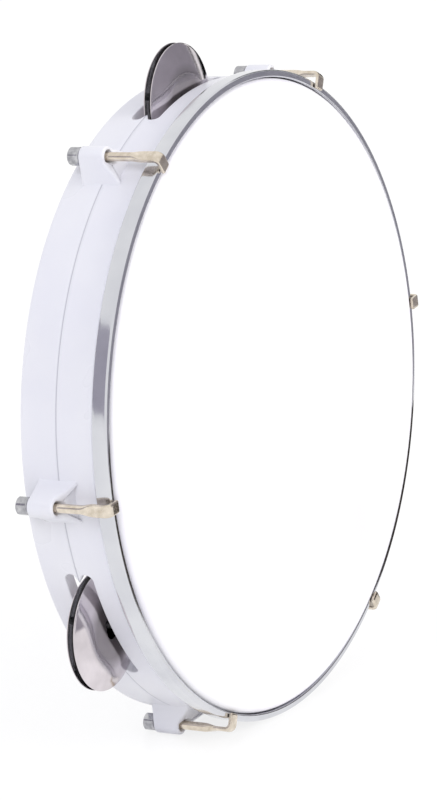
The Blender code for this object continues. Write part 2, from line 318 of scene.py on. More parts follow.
scratchStrength = 0.4


def makePlated(name):
    # Plated steel: two close tones in blotches, fine scratches from handling and polishing
    facts = plating[name]
    material, tree = newMaterial(name)
    place = addNode(tree, "ShaderNodeTexCoord").outputs["Object"]
    broad = blotches(tree, place, facts["blotch"])
    fine = blotches(tree, place, facts["scratch"], 4.0, facts["stretch"])
    share = addNode(tree, "ShaderNodeMapRange", {"Value": broad, **noiseSpan, "To Min": 0, "To Max": 1})
    first, second = facts["colours"]
    colour = addNode(
        tree,
        "ShaderNodeMix",
        {
            mixShare: share.outputs["Result"],
            mixFirst: linearColour(first),
            mixSecond: linearColour(second),
        },
        data_type="RGBA",
    )
    low, high = facts["roughness"]
    rough = addNode(
        tree, "ShaderNodeMapRange", {"Value": fine, **noiseSpan, "To Min": low, "To Max": high}
    )
    bump = addNode(
        tree,
        "ShaderNodeBump",
        {"Height": fine, "Strength": scratchStrength, "Distance": facts["scratchHeight"]},
    )
    shader = addNode(
        tree,
        "ShaderNodeBsdfPrincipled",
        {
            "Base Color": colour.outputs[mixResult],
            "Metallic": 1.0,
            "Roughness": rough.outputs["Result"],
            "Normal": bump.outputs["Normal"],
        },
    )
    addNode(tree, "ShaderNodeOutputMaterial", {"Surface": shader.outputs["BSDF"]})
    return material


sheet = {
    "colour": "#e2dbdf",
    "tarnish": "#bab3b7",
    "tarnishSize": 14,
    "tarnishShare": 0.6,
    # Painted shade: the hollow side of each jingle, which faces its partner, is painted this dark
    "inside": "#4b474a",
    # Painted reflection: the middle of each jingle is painted darker, in place of the dark slot that the
    # sheet mirrors
    "paintedReflection": "#6b6562",
    "paintedReflectionShare": 0.6,
    "paintedReflectionReach": (0.013, 0.019),
    "roughness": (0.05, 0.12),
    "groove": 0.0006,  # from line to line, wider than on real spun sheet, so that they show
    "grooveHeight": 0.000004,
    "grooveStrength": 0.5,
}


def makeJingleNickel():
    # Nickel-plated steel sheet, stamped and spun bright: faint rings about its hole and a grey tarnish
    # in random patches. Round the middle it is painted darker, a painted reflection of the dark slot,
    # and its hollow side, which faces the partner jingle, is painted dark as painted shade. The rings
    # are a sine of the distance from the jingle's axis, which each point carries as an attribute.
    material, tree = newMaterial("spunNickelSheet")
    place = addNode(tree, "ShaderNodeTexCoord").outputs["Object"]
    reach = addNode(tree, "ShaderNodeAttribute", attribute_name="fromAxis").outputs["Fac"]
    turns = addNode(
        tree, "ShaderNodeMath", {0: reach, 1: 2 * math.pi / sheet["groove"]}, operation="MULTIPLY"
    )
    rings = addNode(tree, "ShaderNodeMath", {0: turns.outputs[0]}, operation="SINE")
    broad = blotches(tree, place, sheet["tarnishSize"], 4.0)
    tarnish = addNode(
        tree,
        "ShaderNodeMapRange",
        {"Value": broad, **noiseSpan, "To Min": 0, "To Max": sheet["tarnishShare"]},
    )
    # Painted reflection: a darker middle, at its full share out to the near reach and gone at the far one
    near, far = sheet["paintedReflectionReach"]
    middle = addNode(
        tree,
        "ShaderNodeMapRange",
        {"Value": reach, "From Min": near, "From Max": far, "To Min": sheet["paintedReflectionShare"], "To Max": 0},
    )
    # Painted shade: the hollow side, read from the point attribute inside, is painted dark
    paintedShadeSide = addNode(tree, "ShaderNodeAttribute", attribute_name="inside").outputs["Fac"]
    colour = linearColour(sheet["colour"])
    for share, other in (
        (tarnish.outputs["Result"], "tarnish"),
        (middle.outputs["Result"], "paintedReflection"),
        (paintedShadeSide, "inside"),
    ):
        colour = addNode(
            tree,
            "ShaderNodeMix",
            {mixShare: share, mixFirst: colour, mixSecond: linearColour(sheet[other])},
            data_type="RGBA",
        ).outputs[mixResult]
    low, high = sheet["roughness"]
    rough = addNode(
        tree, "ShaderNodeMapRange", {"Value": broad, **noiseSpan, "To Min": low, "To Max": high}
    )
    bump = addNode(
        tree,
        "ShaderNodeBump",
        {
            "Height": rings.outputs[0],
            "Strength": sheet["grooveStrength"],
            "Distance": sheet["grooveHeight"],
        },
    )
    shader = addNode(
        tree,
        "ShaderNodeBsdfPrincipled",
        {
            "Base Color": colour,
            "Metallic": 1.0,
            "Roughness": rough.outputs["Result"],
            "Normal": bump.outputs["Normal"],
        },
    )
    addNode(tree, "ShaderNodeOutputMaterial", {"Surface": shader.outputs["BSDF"]})
    return material


whiteAbs = makeWhiteAbs("whiteAbs", True)
lugAbs = makeWhiteAbs("lugAbs", False)
milkyFilm = makeMilkyFilm()
chromePlate = makePlated("chromePlate")
nickelPlate = makePlated("nickelPlate")
nutChrome = makePlated("nutChrome")
zincSteel = makePlated("zincPlatedSteel")
jingleNickel = makeJingleNickel()
print("materials made")

mergeDistance = 1e-6
slimEdge = 1e-7


def gridFaces(rows, columns, wrapRows, wrapColumns):
    # Quads over a grid of points that are numbered row by row
    i = np.arange(rows if wrapRows else rows - 1)[:, None]
    j = np.arange(columns if wrapColumns else columns - 1)[None, :]
    nextI = (i + 1) % rows
    nextJ = (j + 1) % columns
    corners = [i * columns + j, i * columns + nextJ, nextI * columns + nextJ, nextI * columns + j]
    return np.stack(np.broadcast_arrays(*corners), axis=-1).reshape(-1, 4)


def meshFromGrid(name, points, wrapRows, wrapColumns, caps=False, values=()):
    # points is (rows, columns, 3). Doubles merge, so a row that is one point closes into a pole.
    rows, columns = points.shape[:2]
    faces = gridFaces(rows, columns, wrapRows, wrapColumns).tolist()
    if caps:
        faces.append(list(range(columns)))
        faces.append(list(range((rows - 1) * columns, rows * columns)))
    mesh = bpy.data.meshes.new(name)
    mesh.from_pydata(points.reshape(-1, 3).tolist(), [], faces)
    for key, value in dict(values).items():
        mesh.attributes.new(key, "FLOAT", "POINT").data.foreach_set("value", value.ravel())
    bm = bmesh.new()
    bm.from_mesh(mesh)
    bmesh.ops.remove_doubles(bm, verts=bm.verts, dist=mergeDistance)
    bmesh.ops.dissolve_degenerate(bm, edges=bm.edges, dist=slimEdge)
    bmesh.ops.recalc_face_normals(bm, faces=bm.faces)
    bm.to_mesh(mesh)
    bm.free()
    return mesh


def makePiece(name, mesh, material, body, replaced=(), sharp=35):
    # One finished piece: it rides on its body and stands for the CAD nodes that it replaces. Edges
    # that turn by more than the sharp angle, in degrees, stay crisp.
    mesh.materials.clear()
    mesh.materials.append(material)
    mesh.shade_smooth()
    mesh.set_sharp_from_angle(angle=math.radians(sharp))
    piece = bpy.data.objects.new(name, mesh)
    bpy.context.collection.objects.link(piece)
    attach(piece, body)
    if replaced:
        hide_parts(*replaced)


def fromDrum(x, y, height, origin=drumOrigin):
    # Drum coordinates to the shared frame: x sideways, y up the leaning head, height along the axis
    x, y, height = (v[..., None] for v in np.broadcast_arrays(x, y, height))
    return origin + x * sideways + y * upwards + height * ahead


def onDrum(radius, angle, height):
    # The same from a radius and an angle in radians
    return fromDrum(radius * np.cos(angle), radius * np.sin(angle), height)


def besideAxis(angle, along, outward, height):
    # The same from the distances along the tangent and along the radius at an angle
    cosine, sine = math.cos(angle), math.sin(angle)
    return fromDrum(outward * cosine - along * sine, outward * sine + along * cosine, height)


def arcPoints(centre, radius, start, end, steps):
    # Points on a circle arc, or an ellipse arc if radius is a pair; angles in degrees
    angle = np.radians(np.linspace(start, end, steps + 1))
    wide, tall = np.broadcast_to(radius, 2)
    return np.stack([centre[0] + wide * np.cos(angle), centre[1] + tall * np.sin(angle)], axis=-1)


def spread(first, last, steps):
    # Evenly spaced points on a line, both ends left out
    share = np.linspace(0, 1, steps + 1)[1:-1, None]
    return np.array(first) * (1 - share) + np.array(last) * share


def leftNormals(outline):
    # At each point of a closed outline, the line between its neighbours turned a quarter to the left
    # and made one unit long. It points out of an outline that runs clockwise, and into the others.
    tangent = np.roll(outline, -1, axis=0) - np.roll(outline, 1, axis=0)
    normal = np.stack([-tangent[:, 1], tangent[:, 0]], axis=-1)
    return normal / np.linalg.norm(normal, axis=1, keepdims=True)


def latheMesh(name, profile, steps, centre=drumOrigin, inside=None):
    # Surface of revolution: the point at angle a of profile (r, h) is r from the axis and h along it
    angle = np.linspace(0, 2 * np.pi, steps, endpoint=False)
    radius = profile[:, :1]
    height = profile[:, 1:]
    points = fromDrum(radius * np.cos(angle), radius * np.sin(angle), height, centre)
    values = {}
    # A jingle's points also carry their distance from the axis and whether they lie on the hollow side,
    # which the material paints dark as painted shade
    if inside is not None:
        values["fromAxis"] = np.broadcast_to(radius, points.shape[:2])
        values["inside"] = np.broadcast_to(inside[:, None], points.shape[:2])
    return meshFromGrid(name, points, True, True, values=values)


shellWall = {
    "radius": 0.1525,
    "draft": 0.0005,
    "height": 0.0480,
    "inner": 0.1455,
    "step": 0.0373,
    "stepChamfer": 0.0003,
    "spigot": 0.1507,
    "bearing": (0.0038, 0.0045),
    "crestFlat": 0.0007,
    "lip": (0.0004, 0.0009),
    "lipFoot": 0.0016,
    "edgeRound": 0.0009,
    "grooveWidth": 0.0005,
    "grooveDepth": 0.00015,
    "steps": 360,
}
slot = {
    "length": 0.0656,
    "width": 0.0143,
    "lobe": 0.0033,
    "sweep": 30,
    "cusp": 0.0042,
    "edgeRound": 0.0006,
    "flareTurns": (0, 20, 40, 60, 78),
    "cutterReach": 0.003,
}
pin = {
    "radius": 0.0015,
    "head": 0.0020,
    "headHeight": 0.0010,
    "headRound": 0.0003,
    "recess": 0.0004,
    "top": 0.03225,
    "point": (0.0006, 0.0008),
    "gap": 0.0003,
    "cutterReach": 0.001,
    "boreSteps": 32,
    "steps": 40,
}


def wallRadius(height):
    # Outside of the drafted wall: widest at the parting line, straight to both edges
    parting = drum["partingHeight"]
    below = (parting - height) / parting
    above = (height - parting) / (shellWall["step"] - parting)
    away = np.where(height < parting, below, above)
    return shellWall["radius"] - shellWall["draft"] * np.clip(away, 0, 1)


def shellProfile():
    # Closed outline of (radius, height): up the drafted outside with its fine groove, over the step,
    # up the spigot, round the elliptic bearing edge and down the inside, with rounded corners
    wall = shellWall
    rim = wall["radius"] - wall["draft"]
    rounding = wall["edgeRound"]
    chamfer = wall["stepChamfer"]
    parting = drum["partingHeight"]
    crest = wall["spigot"] - wall["bearing"][0]
    groove = [
        (wall["radius"], parting - wall["grooveWidth"] / 2),
        (wall["radius"] - wall["grooveDepth"], parting),
        (wall["radius"], parting + wall["grooveWidth"] / 2),
    ]
    lip = [
        (crest - wall["crestFlat"], wall["height"]),
        (wall["inner"] + wall["lip"][0], wall["height"] - wall["lip"][1]),
        (wall["inner"], wall["height"] - wall["lipFoot"]),
    ]
    return np.concatenate([
        arcPoints((rim - rounding, rounding), rounding, -90, 0, 5),
        spread((rim, rounding), groove[0], 10),
        groove,
        spread(groove[2], (rim, wall["step"] - rounding), 10),
        arcPoints((rim - rounding, wall["step"] - rounding), rounding, 0, 90, 5),
        [(wall["spigot"] + chamfer, wall["step"]), (wall["spigot"], wall["step"] + chamfer)],
        arcPoints((crest, wall["height"] - wall["bearing"][1]), wall["bearing"], 0, 90, 12),
        lip,
        spread(lip[-1], (wall["inner"], rounding), 14),
        arcPoints((wall["inner"] + rounding, rounding), rounding, 180, 270, 5),
    ])


def slotOutline():
    # One end: upper lobe, V to the cusp, lower lobe; then the same turned over for the other end
    half = slot["length"] / 2
    across = slot["width"] / 2 - slot["lobe"]
    lobe = arcPoints((half - slot["lobe"], across), slot["lobe"], 90, -slot["sweep"], 14)
    tip = np.array([(half - slot["cusp"], 0.0)])
    flank = spread(lobe[-1], tip[0], 5)
    upper = np.concatenate([lobe, flank])
    end = np.concatenate([upper, tip, upper[::-1] * (1, -1)])
    side = spread(end[-1], (-end[-1, 0], end[-1, 1]), 24)
    return np.concatenate([end, side, -end, -side])


def slotCutterPoints(angle):
    # Rings of the outline pushed through the wall. At both faces they flare out along a quarter
    # circle that follows the wall's own curve, so that the slot's edges come out rounded.
    outline = slotOutline()
    normal = leftNormals(outline)  # outwards, as the outline runs clockwise
    turn = np.radians(slot["flareTurns"])
    reach = slot["cutterReach"]
    grow = slot["edgeRound"] * (1 - np.cos(turn))
    depth = slot["edgeRound"] * (1 - np.sin(turn))
    grow = np.concatenate([grow[-1:], grow[::-1], grow, grow[-1:]])[:, None]
    depth = np.concatenate([[-reach], depth[::-1], -depth, [reach]])[:, None]
    outside = np.arange(len(grow))[:, None] >= len(grow) // 2
    along = outline[:, 0] + grow * normal[:, 0]
    height = drum["partingHeight"] + outline[:, 1] + grow * normal[:, 1]
    radius = np.where(outside, wallRadius(height), shellWall["inner"]) + depth
    return besideAxis(angle, along, np.sqrt(radius ** 2 - along ** 2), height)


def joinMeshes(name, meshes):
    # Several closed meshes as one, which one Boolean cuts with
    bm = bmesh.new()
    for mesh in meshes:
        bm.from_mesh(mesh)
        bpy.data.meshes.remove(mesh)
    joined = bpy.data.meshes.new(name)
    bm.to_mesh(joined)
    bm.free()
    return joined


def cutMesh(mesh, cutterMeshes):
    # Exact Booleans, applied at once so that no modifier stays on the piece
    body = bpy.data.objects.new("uncut", mesh)
    bpy.context.collection.objects.link(body)
    cutters = []
    for cutterMesh in cutterMeshes:
        cutter = bpy.data.objects.new(cutterMesh.name, cutterMesh)
        bpy.context.collection.objects.link(cutter)
        modifier = body.modifiers.new(cutterMesh.name, "BOOLEAN")
        modifier.operation = "DIFFERENCE"
        modifier.solver = "EXACT"
        modifier.object = cutter
        cutters.append(cutter)
    bpy.context.view_layer.update()
    evaluated = body.evaluated_get(bpy.context.evaluated_depsgraph_get())
    result = bpy.data.meshes.new_from_object(evaluated)
    for old in [body, *cutters]:
        bpy.data.objects.remove(old)
    return result


def makeShell():
    # The lathed wall, with the three slots and the stepped bores of the three pins cut out of it
    wall = latheMesh("shellWall", shellProfile(), shellWall["steps"])
    below = -pin["cutterReach"]
    seat = pin["recess"] + pin["headHeight"]
    top = pin["top"] + pin["gap"]
    wide = pin["head"] + pin["gap"]
    narrow = pin["radius"] + pin["gap"]
    bore = np.array([(0, below), (wide, below), (wide, seat), (narrow, seat), (narrow, top), (0, top)])
    slots = []
    bores = []
    for degrees in drum["jingleAngles"]:
        angle = math.radians(degrees)
        slots.append(meshFromGrid("slotCutter", slotCutterPoints(angle), False, True, caps=True))
        centre = onDrum(drum["pinCircle"], angle, 0.0)
        bores.append(latheMesh("pinBore", bore, pin["boreSteps"], centre))
    mesh = cutMesh(wall, [joinMeshes("slotCutters", slots), joinMeshes("pinBores", bores)])
    mesh.name = "shellWall"
    makePiece("shellWall", mesh, whiteAbs, "frame", ["shell"], 38)


makeShell()
print("shell made")

lug = {
    "rear": 0.0080,
    "length": 0.0133,
    "footRun": 0.0070,
    "crest": 0.00475,
    "footHalf": 0.0088,
    "footLift": 0.0002,
    "flare": 0.0026,
    "toeDrop": 0.0019,
    "underDrop": 0.0045,
    "bore": 0.0024,
    "boreChamfer": 0.0006,
    "mouth": (0.0010, 0.0022),
    "mouthShoulder": (0.8, 0.0003),
    "edgeRound": 0.0010,
    "edgeTurns": (0, 22, 45, 68, 90),
    "fillet": 0.0034,
}


def filletPoints(before, corner, after, radius, steps):
    # A smooth curve in place of a corner: a quadratic blend that leaves both sides at the same reach
    before, corner, after = (np.array(p) for p in (before, corner, after))
    start = corner + (before - corner) / np.linalg.norm(before - corner) * radius
    end = corner + (after - corner) / np.linalg.norm(after - corner) * radius
    t = np.linspace(0, 1, steps + 1)[:, None]
    return start * (1 - t) ** 2 + corner * 2 * t * (1 - t) + end * t ** 2


def lugSection():
    # Closed section (along, outward): flared foot, straight flank, arch round the rod, and back. The
    # flank runs from the foot along a tangent of the arch.
    centre = drum["hookCircle"]
    foot = shellWall["radius"] + lug["footLift"]
    reach = math.hypot(lug["footHalf"], centre - foot)
    tangent = math.atan2(foot - centre, lug["footHalf"]) + math.acos(lug["crest"] / reach)
    arch = arcPoints((0, centre), lug["crest"], math.degrees(tangent), 90, 18)
    corner = (lug["footHalf"], foot)
    toe = (lug["footHalf"] + lug["flare"], foot - lug["toeDrop"])
    under = (lug["footHalf"] + lug["flare"], foot - lug["underDrop"])
    middle = (0, under[1])
    base = spread(middle, under, 8)
    fillet = filletPoints(toe, corner, arch[0], lug["fillet"], 8)
    flank = spread(fillet[-1], arch[0], 6)
    right = np.concatenate([[middle], base, [under, toe], fillet, flank, arch])
    left = right[1:-1][::-1] * (-1, 1)
    return np.concatenate([right, left])


def lugFront(outward):
    # Height of the sloping front: level at the crest, long at the foot
    share = (drum["hookCircle"] - outward) / (drum["hookCircle"] - shellWall["radius"])
    return lug["rear"] + lug["length"] + lug["footRun"] * np.clip(share, 0, 1)


def makeLug(number, degrees):
    # Rings round the section, from the rear bore over the outside to the front bore and back inside.
    # At both ends they shrink along a quarter circle, which rounds the edges.
    section = lugSection()
    inward = leftNormals(section)
    rod = np.array((0, drum["hookCircle"]))
    fromRod = section - rod
    fromRod /= np.linalg.norm(fromRod, axis=1, keepdims=True)
    rounding = lug["edgeRound"]
    chamfer = lug["boreChamfer"]
    turns = np.radians(lug["edgeTurns"])
    rings = []
    heights = []
    for bore, rise in ((lug["bore"], chamfer), (lug["bore"] + chamfer, 0.0)):
        rings.append(fromRod * bore + rod)
        heights.append(np.full(len(section), lug["rear"] + rise))
    for turn in turns:
        rings.append(section + inward * rounding * (1 - math.sin(turn)))
        heights.append(np.full(len(section), lug["rear"] + rounding * (1 - math.cos(turn))))
    for turn in turns[::-1]:
        ring = section + inward * rounding * (1 - math.sin(turn))
        rings.append(ring)
        heights.append(lugFront(ring[:, 1]) - rounding * (1 - math.cos(turn)))
    wide, deep = lug["mouth"]
    shoulder, drop = lug["mouthShoulder"]
    for extra, fall in ((wide, 0.0), (wide * shoulder, drop), (0.0, deep)):
        ring = fromRod * (lug["bore"] + extra) + rod
        rings.append(ring)
        heights.append(lugFront(ring[:, 1]) - fall)
    rings = np.array(rings)
    points = besideAxis(math.radians(degrees), rings[..., 0], rings[..., 1], np.array(heights))
    mesh = meshFromGrid(f"shellLug{number}", points, True, True)
    makePiece(f"shellLug{number}", mesh, lugAbs, "frame", (), 40)


for number, degrees in enumerate(drum["hookAngles"], 1):
    makeLug(number, degrees)
print("lugs made")

head = {
    "thickness": 0.00047,
    "gap": 0.0003,
    "skirt": 0.0388,
    "flange": 0.1538,
    "chamfer": 0.0003,
    "flatRings": 12,
    "steps": 288,
}


def makeHead():
    # Film: flat to the crest, an elliptic collar, the skirt, the flange, and back along its inside
    crest = shellWall["spigot"] - shellWall["bearing"][0]
    centre = (crest, shellWall["height"] - shellWall["bearing"][1])
    thick = head["thickness"]
    chamfer = head["chamfer"]
    inner = np.array(shellWall["bearing"]) + head["gap"]
    outer = inner + thick
    front = centre[1] + outer[1]
    skirt = shellWall["spigot"] + head["gap"]
    foot = head["skirt"]
    flat = [(r, front) for r in np.linspace(0, crest, head["flatRings"])[:-1]]
    back = [(r, front - thick) for r in np.linspace(crest, 0, head["flatRings"])[1:]]
    profile = np.concatenate([
        flat,
        arcPoints(centre, outer, 90, 0, 14),
        [(skirt + thick, foot + thick + chamfer), (skirt + thick + chamfer, foot + thick)],
        [(head["flange"], foot + thick), (head["flange"], foot)],
        [(skirt + chamfer, foot), (skirt, foot + chamfer)],
        arcPoints(centre, inner, 0, 90, 14),
        back,
    ])
    mesh = latheMesh("drumHead", profile, head["steps"])
    makePiece("drumHead", mesh, milkyFilm, "rim", ["drum_head"])


hoop = {
    "outer": 0.1553,
    "inner": 0.1518,
    "front": 0.0467,
    "depth": 0.0076,
    "lip": 0.0036,
    "skirt": 0.0013,
    "skirtRound": 0.0003,
    "rearRound": 0.0004,
    "outerRound": 0.0012,
    "innerRound": 0.0008,
    "steps": 360,
}


def makeHoop():
    # Flat bar with rounded edges and a rebate for the flesh ring behind its lip
    outer, inner, front = hoop["outer"], hoop["inner"], hoop["front"]
    skirtRound, rearRound = hoop["skirtRound"], hoop["rearRound"]
    outerRound, innerRound = hoop["outerRound"], hoop["innerRound"]
    rear = front - hoop["depth"]
    inside = outer - hoop["skirt"]
    profile = np.concatenate([
        arcPoints((inside + skirtRound, rear + skirtRound), skirtRound, 180, 270, 3),
        arcPoints((outer - rearRound, rear + rearRound), rearRound, -90, 0, 4),
        spread((outer, rear + rearRound), (outer, front - outerRound), 5),
        arcPoints((outer - outerRound, front - outerRound), outerRound, 0, 90, 8),
        arcPoints((inner + innerRound, front - innerRound), innerRound, 90, 180, 8),
        [(inner, front - hoop["lip"]), (inside, front - hoop["lip"])],
    ])
    mesh = latheMesh("counterHoop", profile, hoop["steps"])
    makePiece("counterHoop", mesh, chromePlate, "rim", ["counter_hoop"])


makeHead()
makeHoop()
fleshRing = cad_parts["flesh_ring"]
fleshRing.data.materials.clear()
fleshRing.data.materials.append(zincSteel)
print("head and hoop made")

hook = {
    "rod": 0.0042,
    "rodEnd": 0.0026,
    "endRound": 0.0006,
    "endTurns": (0, 30, 60, 90),
    "rodStart": 0.002,
    "stripStart": 0.0337,
    "stripFull": 0.0407,
    "stripWidth": 0.0060,
    "stripThickness": 0.0020,
    "squareness": 3.5,
    "clawThickness": 0.0018,
    "clawReach": 0.0079,
    "clawFace": 0.0470,
    "tipTurns": (0, 25, 50, 72, 90),
    "tipRun": 0.6,
    "tipNarrow": 0.30,
    "tipThin": 0.72,
    "bend": 0.0026,
    "around": 40,
}


def hookPoints():
    # A superellipse section carried along the hook's middle line: round rod, flat strip, bend, claw.
    # Width, thickness and squareness pass from the rod's to the strip's by a smooth step.
    circle = drum["hookCircle"]
    face = hook["clawFace"] + hook["clawThickness"] / 2
    bendStart = face - hook["bend"]
    endTurns = np.radians(hook["endTurns"])
    height = np.concatenate([
        hook["rodEnd"] + hook["endRound"] * (1 - np.cos(endTurns)),
        np.linspace(hook["rodEnd"] + hook["rodStart"], hook["stripStart"], 16),
        np.linspace(hook["stripStart"], hook["stripFull"], 12)[1:],
        np.linspace(hook["stripFull"], bendStart, 4)[1:],
    ])
    straight = len(height)
    bendTurns = np.radians(np.linspace(0, 90, 13)[1:])
    tipTurns = np.radians(hook["tipTurns"])
    tip = circle - hook["clawReach"]
    clawEnd = tip + hook["clawThickness"] * hook["tipRun"] * (1 - np.sin(tipTurns))
    claw = np.concatenate([np.linspace(circle - hook["bend"], clawEnd[0], 6)[1:], clawEnd[1:]])
    bent = circle - hook["bend"] * (1 - np.cos(bendTurns))
    outward = np.concatenate([np.full(straight, circle), bent, claw])
    raised = bendStart + hook["bend"] * np.sin(bendTurns)
    height = np.concatenate([height, raised, np.full(len(claw), face)])
    heading = np.concatenate([np.zeros(straight), bendTurns, np.full(len(claw), math.pi / 2)])

    share = np.clip((height - hook["stripStart"]) / (hook["stripFull"] - hook["stripStart"]), 0, 1)
    share[straight:] = 1.0
    share = share * share * (3 - 2 * share)
    width = hook["rod"] + (hook["stripWidth"] - hook["rod"]) * share
    thick = hook["rod"] + (hook["stripThickness"] - hook["rod"]) * share
    thick += (hook["clawThickness"] - hook["stripThickness"]) * np.clip(heading / (math.pi / 2), 0, 1)
    endShrink = 1 - hook["endRound"] / (hook["rod"] / 2) * (1 - np.sin(endTurns))
    width[:len(endTurns)] *= endShrink
    thick[:len(endTurns)] *= endShrink
    tipShrink = 1 - np.cos(tipTurns[1:])
    width[-len(tipShrink):] *= 1 - hook["tipNarrow"] * tipShrink
    thick[-len(tipShrink):] *= 1 - hook["tipThin"] * tipShrink

    angle = np.linspace(0, 2 * np.pi, hook["around"], endpoint=False)
    cosine, sine = np.cos(angle), np.sin(angle)
    exponent = (2 / (2 + hook["squareness"] * share))[:, None]
    across = np.sign(cosine) * np.abs(cosine) ** exponent * (width / 2)[:, None]
    through = np.sign(sine) * np.abs(sine) ** exponent * (thick / 2)[:, None]
    out = outward[:, None] + through * np.cos(heading)[:, None]
    up = height[:, None] + through * np.sin(heading)[:, None]
    return across, out, up


def makeHook(number, degrees):
    # The rings of the hook set on the hook circle at its own angle
    points = besideAxis(math.radians(degrees), *hookPoints())
    name = f"tensionHook{number}"
    mesh = meshFromGrid(name, points, False, True, caps=True)
    node = f"tension_hook_{number}"
    makePiece(name, mesh, nickelPlate, "rim", [node], 40)


nut = {
    "flats": 0.0080,
    "length": 0.0059,
    "rear": 0.0018,
    "hole": 0.00245,
    "sink": (0.0004, 0.0008),
    "chamfer": 0.0008,
    "chamferShares": (0.0, 0.35, 0.7, 1.0),
    "faceInset": 0.0003,
    "cornerRound": 0.00035,
    "around": 96,
}


def makeNut(number, degrees):
    # Hexagon with softened corners, cut by a cone at both ends, with a countersunk hole. Its radius
    # is half the flats over the cosine of the angle from the nearest flat's middle.
    angle = np.linspace(0, 2 * np.pi, nut["around"], endpoint=False)
    fold = (angle + np.pi / 6) % (np.pi / 3) - np.pi / 6
    flat = nut["flats"] / 2
    corner = flat / math.cos(math.pi / 6)
    face = flat - nut["faceInset"]
    hexagon = np.minimum(flat / np.cos(fold), corner - nut["cornerRound"])
    sinkOut, sinkIn = nut["sink"]
    rear = [
        (np.full_like(angle, nut["hole"]), sinkIn),
        (np.full_like(angle, nut["hole"] + sinkOut), 0.0),
    ]
    for share in nut["chamferShares"]:
        rear.append((np.minimum(hexagon, face + (corner - face) * share), nut["chamfer"] * share))
    front = [(ring, nut["length"] - depth) for ring, depth in reversed(rear)]
    radius = np.array([ring for ring, _ in rear + front])
    height = np.array([depth for _, depth in rear + front])[:, None] + nut["rear"]
    along = radius * np.sin(angle)
    outward = drum["hookCircle"] + radius * np.cos(angle)
    points = besideAxis(math.radians(degrees), along, outward, height)
    name = f"tuningNut{number}"
    mesh = meshFromGrid(name, points, True, True)
    node = f"tuning_nut_{number}"
    makePiece(name, mesh, nutChrome, f"nut_{number}", [node], 25)


for number, degrees in enumerate(drum["hookAngles"], 1):
    makeHook(number, degrees)
    makeNut(number, degrees)
print("hooks and nuts made")

jingle = {
    "radius": 0.02799,
    "thickness": 0.0005,
    "hole": 0.0042,
    "flat": 0.0140,
    "flatRings": 8,
    "dish": 0.0030,
    "dishRings": 26,
    "curve": 1.7,
    "rimOffset": 0.0017,
    "sag": 0.0023798,
    "steps": 160,
}


def makeJingle(number, degrees, way, name, node):
    # Sheet whose middle line leaves the flat centre and falls ever more steeply to the rim. way is
    # -1 for the front jingle and 1 for the rear one, which face each other with their rims.
    radius = np.concatenate([
        np.linspace(jingle["hole"], jingle["flat"], jingle["flatRings"]),
        np.linspace(jingle["flat"], jingle["radius"], jingle["dishRings"])[1:],
    ])
    share = np.clip((radius - jingle["flat"]) / (jingle["radius"] - jingle["flat"]), 0, 1)
    middle = way * jingle["dish"] * (share ** jingle["curve"] - 1)
    half = jingle["thickness"] / 2
    low = np.stack([radius, middle - half], axis=-1)
    high = np.stack([radius, middle + half], axis=-1)
    rim = arcPoints((jingle["radius"] - half, middle[-1]), half, -60, 60, 4)
    low[-1, 0] -= half
    high[-1, 0] -= half
    profile = np.concatenate([low, rim, high[::-1]])
    # Points on the hollow side, where the material paints shade
    paintedShadeSide = np.concatenate([np.full(len(low), way < 0), np.zeros(len(rim)), np.full(len(high), way > 0)])
    height = drum["partingHeight"] - way * jingle["rimOffset"]
    centre = onDrum(drum["pinCircle"], math.radians(degrees), height)
    centre = centre - jingle["sag"] * upwards
    mesh = latheMesh(f"{name}{number}", profile, jingle["steps"], centre, paintedShadeSide.astype(float))
    makePiece(f"{name}{number}", mesh, jingleNickel, node, [node])


def makePin(number, degrees):
    # A nail: rounded head, straight shank and a short blunt point, turned about its own axis
    seat = pin["recess"] + pin["headHeight"] - pin["gap"]
    rounding = pin["headRound"]
    tip, taper = pin["point"]
    profile = np.concatenate([
        [(0, pin["recess"])],
        arcPoints((pin["head"] - rounding, pin["recess"] + rounding), rounding, -90, 0, 3),
        [(pin["head"], seat), (pin["radius"], seat)],
        [(pin["radius"], pin["top"] - taper), (tip, pin["top"]), (0, pin["top"])],
    ])
    centre = onDrum(drum["pinCircle"], math.radians(degrees), 0.0)
    name = f"jinglePin{number}"
    mesh = latheMesh(name, profile, pin["steps"], centre)
    makePiece(name, mesh, zincSteel, "frame", [f"jingle_pin_{number}"])


for number, degrees in enumerate(drum["jingleAngles"], 1):
    makeJingle(number, degrees, -1, "frontJingle", f"front_jingle_{number}")
    makeJingle(number, degrees, 1, "rearJingle", f"rear_jingle_{number}")
    makePin(number, degrees)
print("jingles and pins made")

floor = {
    "size": 8.0,
    "colour": "#f7f7f7",
    "roughness": 0.22,
    "ior": 1.45,
    "white": (0.74, 0.92),  # its share near the drum and far from it
    "reach": (0.05, 0.40),
    "glow": 1.06,
}
world = {"light": 0.66, "colour": "#fbfbff"}
lamps = {
    "frontSoftbox": {"place": (0.5, -2.4, 1.5), "size": 1.8, "watts": 45, "colour": "#fffdf8"},
    "leftSoftbox": {"place": (-2.2, 0.2, 1.7), "size": 1.4, "watts": 22, "colour": "#f4f5ff"},
}
# Azimuth 0 is in front of the drum and 90 on its right. span is the lowest and highest point.
cards = {
    "greyCard": {"azimuth": 38, "away": 0.9, "width": 1.30, "span": (0.0, 0.9), "colour": "#a9a7ad"},
    "thinFlag": {"azimuth": 76, "away": 0.9, "width": 0.04, "span": (0.0, 1.1), "colour": "#202022"},
    "rightFlag": {"azimuth": 94, "away": 0.9, "width": 0.32, "span": (0.0, 1.1), "colour": "#161618"},
    "leftFlag": {"azimuth": -114, "away": 0.6, "width": 0.36, "span": (0.18, 0.45), "colour": "#b3b0bb"},
    "lowFlag": {"azimuth": 61, "away": 0.28, "width": 0.34, "span": (0.0, 0.10), "colour": "#4a4440"},
}
cardRoughness = 0.9


